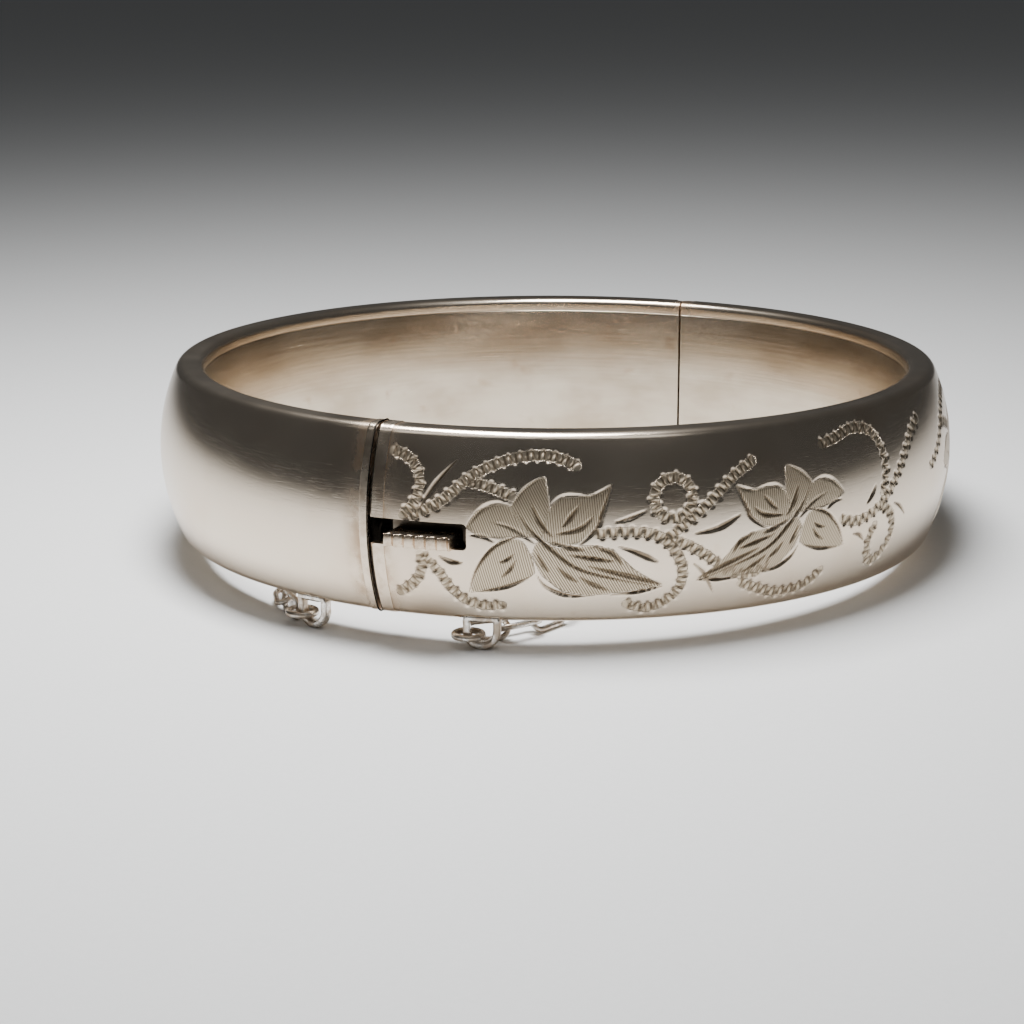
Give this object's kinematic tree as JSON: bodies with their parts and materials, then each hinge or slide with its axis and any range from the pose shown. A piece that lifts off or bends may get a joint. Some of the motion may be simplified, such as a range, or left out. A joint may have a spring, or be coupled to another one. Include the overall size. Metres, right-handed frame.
{
  "type": "bangle bracelet",
  "caption": "Hollow hinged silver bangle: a plain half and a leaf-engraved half joined by a knuckle hinge, with a tongue clasp, a thumb piece and a safety chain.",
  "frame": {"origin": "centre of the wrist circle, on the surface that the safety loops stand on", "axes": "+Z along the wrist axis with the safety loops at the bottom, +Y through the hinge, -Y through the clasp, +X through the engraved half"},
  "size_m": [0.0654, 0.0664, 0.0163],
  "materials": {
    "polished_silver": "polished silver with fine scratches and a warm tarnish near the solder seams",
    "engraved_silver": "polished silver, bright-cut by hand with leaves and wriggle-work scrolls",
    "satin_silver": "drawn silver strip, softly rubbed, warm grey",
    "silver_wire": "worn silver wire with dark tarnish in the crevices",
    "warm_hinge_silver": "silver with a coppery solder stain"
  },
  "bodies": {
    "plain_half": {"plain_outer_shell": "polished_silver", "plain_inner_liner": "satin_silver", "plain_clasp_plate": "polished_silver", "plain_hinge_plate": "polished_silver", "tongue_leaf": "satin_silver", "plain_safety_loop": "silver_wire", "hinge_pin": "warm_hinge_silver", "hinge_knuckle_1": "warm_hinge_silver", "hinge_knuckle_3": "warm_hinge_silver", "hinge_knuckle_5": "warm_hinge_silver"},
    "engraved_half": {"engraved_outer_shell": "engraved_silver", "engraved_inner_liner": "satin_silver", "engraved_clasp_plate": "polished_silver", "engraved_hinge_plate": "polished_silver", "engraved_safety_loop": "silver_wire", "hinge_knuckle_2": "warm_hinge_silver", "hinge_knuckle_4": "warm_hinge_silver"},
    "clasp_spring": {"spring_leaf": "satin_silver", "thumb_piece": "polished_silver"},
    "plain_jump_ring": {"plain_jump_ring": "silver_wire"},
    "plain_chain_link_01": {"plain_chain_link_01": "silver_wire"},
    "plain_chain_link_02": {"plain_chain_link_02": "silver_wire", "plain_chain_link_03": "silver_wire"},
    "plain_chain_link_04": {"plain_chain_link_04": "silver_wire"},
    "plain_chain_link_05": {"plain_chain_link_05": "silver_wire", "plain_chain_link_06": "silver_wire"},
    "plain_chain_link_07": {"plain_chain_link_07": "silver_wire"},
    "plain_chain_link_08": {"plain_chain_link_08": "silver_wire"},
    "plain_chain_link_09": {"plain_chain_link_09": "silver_wire"},
    "plain_chain_link_10": {"plain_chain_link_10": "silver_wire"},
    "engraved_jump_ring": {"engraved_jump_ring": "silver_wire"},
    "engraved_chain_link_01": {"engraved_chain_link_01": "silver_wire"},
    "engraved_chain_link_02": {"engraved_chain_link_02": "silver_wire", "engraved_chain_link_03": "silver_wire"},
    "engraved_chain_link_04": {"engraved_chain_link_04": "silver_wire"},
    "engraved_chain_link_05": {"engraved_chain_link_05": "silver_wire", "engraved_chain_link_06": "silver_wire"},
    "engraved_chain_link_07": {"engraved_chain_link_07": "silver_wire"},
    "engraved_chain_link_08": {"engraved_chain_link_08": "silver_wire"},
    "engraved_chain_link_09": {"engraved_chain_link_09": "silver_wire"},
    "engraved_chain_link_10": {"engraved_chain_link_10": "silver_wire"}
  },
  "joints": [
    {"name": "main_hinge", "type": "hinge", "parent": "plain_half", "child": "engraved_half", "pos_m": [0, 0.031, 0.00925], "axis": [0, 0, 1], "range_deg": [0, 30]},
    {"name": "thumb_press", "type": "hinge", "parent": "plain_half", "child": "clasp_spring", "pos_m": [0.0083, -0.03019, 0.00925], "axis": [0, 0, -1], "range_deg": [0, 5], "stiffness_Nm_per_rad": 0.24},
    {"name": "plain_jump_ring_swing", "type": "hinge", "parent": "plain_half", "child": "plain_jump_ring", "pos_m": [-0.00715, -0.02998, 0.00095], "axis": [0, 0, 1], "range_deg": [-91, 0]},
    {"name": "plain_chain_link_01_swing", "type": "hinge", "parent": "plain_jump_ring", "child": "plain_chain_link_01", "pos_m": [-0.00799, -0.02949, 0.00095], "axis": [0, 0, 1], "range_deg": [0, 24]},
    {"name": "plain_chain_link_02_swing", "type": "hinge", "parent": "plain_chain_link_01", "child": "plain_chain_link_02", "pos_m": [-0.01002, -0.02779, 0.00101], "axis": [0, 0, 1], "range_deg": [0, 16]},
    {"name": "plain_chain_link_04_swing", "type": "hinge", "parent": "plain_chain_link_02", "child": "plain_chain_link_04", "pos_m": [-0.01232, -0.02307, 0.00118], "axis": [0, 0, 1], "range_deg": [0, 16]},
    {"name": "plain_chain_link_05_swing", "type": "hinge", "parent": "plain_chain_link_04", "child": "plain_chain_link_05", "pos_m": [-0.01241, -0.02043, 0.00128], "axis": [0, 0, 1], "range_deg": [0, 16]},
    {"name": "plain_chain_link_07_swing", "type": "hinge", "parent": "plain_chain_link_05", "child": "plain_chain_link_07", "pos_m": [-0.01045, -0.01556, 0.00146], "axis": [0, 0, 1], "range_deg": [0, 16]},
    {"name": "plain_chain_link_08_swing", "type": "hinge", "parent": "plain_chain_link_07", "child": "plain_chain_link_08", "pos_m": [-0.00854, -0.01372, 0.00153], "axis": [0, 0, 1], "range_deg": [0, 11]},
    {"name": "plain_chain_link_09_swing", "type": "hinge", "parent": "plain_chain_link_08", "child": "plain_chain_link_09", "pos_m": [-0.0062, -0.01248, 0.00157], "axis": [0, 0, 1], "range_deg": [0, 11]},
    {"name": "plain_chain_link_10_swing", "type": "hinge", "parent": "plain_chain_link_09", "child": "plain_chain_link_10", "pos_m": [-0.00361, -0.01193, 0.00159], "axis": [0, 0, 1], "range_deg": [0, 11]},
    {"name": "engraved_jump_ring_swing", "type": "hinge", "parent": "engraved_half", "child": "engraved_jump_ring", "pos_m": [0.00661, -0.0301, 0.00095], "axis": [0, 0, 1], "range_deg": [-22, 0]},
    {"name": "engraved_chain_link_01_swing", "type": "hinge", "parent": "engraved_jump_ring", "child": "engraved_chain_link_01", "pos_m": [0.00624, -0.0292, 0.00095], "axis": [0, 0, 1], "range_deg": [0, 89]},
    {"name": "engraved_chain_link_02_swing", "type": "hinge", "parent": "engraved_chain_link_01", "child": "engraved_chain_link_02", "pos_m": [0.00827, -0.0275, 0.00101], "axis": [0, 0, 1], "range_deg": [-16, 0]},
    {"name": "engraved_chain_link_04_swing", "type": "hinge", "parent": "engraved_chain_link_02", "child": "engraved_chain_link_04", "pos_m": [0.01057, -0.02278, 0.00118], "axis": [0, 0, 1], "range_deg": [-16, 0]},
    {"name": "engraved_chain_link_05_swing", "type": "hinge", "parent": "engraved_chain_link_04", "child": "engraved_chain_link_05", "pos_m": [0.01067, -0.02014, 0.00128], "axis": [0, 0, 1], "range_deg": [-16, 0]},
    {"name": "engraved_chain_link_07_swing", "type": "hinge", "parent": "engraved_chain_link_05", "child": "engraved_chain_link_07", "pos_m": [0.0087, -0.01527, 0.00146], "axis": [0, 0, 1], "range_deg": [-16, 0]},
    {"name": "engraved_chain_link_08_swing", "type": "hinge", "parent": "engraved_chain_link_07", "child": "engraved_chain_link_08", "pos_m": [0.0068, -0.01343, 0.00153], "axis": [0, 0, 1], "range_deg": [-11, 0]},
    {"name": "engraved_chain_link_09_swing", "type": "hinge", "parent": "engraved_chain_link_08", "child": "engraved_chain_link_09", "pos_m": [0.00446, -0.01219, 0.00157], "axis": [0, 0, 1], "range_deg": [-11, 0]},
    {"name": "engraved_chain_link_10_swing", "type": "hinge", "parent": "engraved_chain_link_09", "child": "engraved_chain_link_10", "pos_m": [0.00186, -0.01164, 0.00159], "axis": [0, 0, 1], "range_deg": [-11, 0]}
  ],
  "couplings": [
    {"joint": "plain_jump_ring_swing", "follows": "main_hinge", "ratio": -3},
    {"joint": "plain_chain_link_01_swing", "follows": "main_hinge", "ratio": 0.7667},
    {"joint": "plain_chain_link_02_swing", "follows": "main_hinge", "ratio": 0.5},
    {"joint": "plain_chain_link_04_swing", "follows": "main_hinge", "ratio": 0.5},
    {"joint": "plain_chain_link_05_swing", "follows": "main_hinge", "ratio": 0.5},
    {"joint": "plain_chain_link_07_swing", "follows": "main_hinge", "ratio": 0.5},
    {"joint": "plain_chain_link_08_swing", "follows": "main_hinge", "ratio": 0.3333},
    {"joint": "plain_chain_link_09_swing", "follows": "main_hinge", "ratio": 0.3333},
    {"joint": "plain_chain_link_10_swing", "follows": "main_hinge", "ratio": 0.3333},
    {"joint": "engraved_jump_ring_swing", "follows": "main_hinge", "ratio": -0.7},
    {"joint": "engraved_chain_link_01_swing", "follows": "main_hinge", "ratio": 2.9333},
    {"joint": "engraved_chain_link_02_swing", "follows": "main_hinge", "ratio": -0.5},
    {"joint": "engraved_chain_link_04_swing", "follows": "main_hinge", "ratio": -0.5},
    {"joint": "engraved_chain_link_05_swing", "follows": "main_hinge", "ratio": -0.5},
    {"joint": "engraved_chain_link_07_swing", "follows": "main_hinge", "ratio": -0.5},
    {"joint": "engraved_chain_link_08_swing", "follows": "main_hinge", "ratio": -0.3333},
    {"joint": "engraved_chain_link_09_swing", "follows": "main_hinge", "ratio": -0.3333},
    {"joint": "engraved_chain_link_10_swing", "follows": "main_hinge", "ratio": -0.3333}
  ]
}
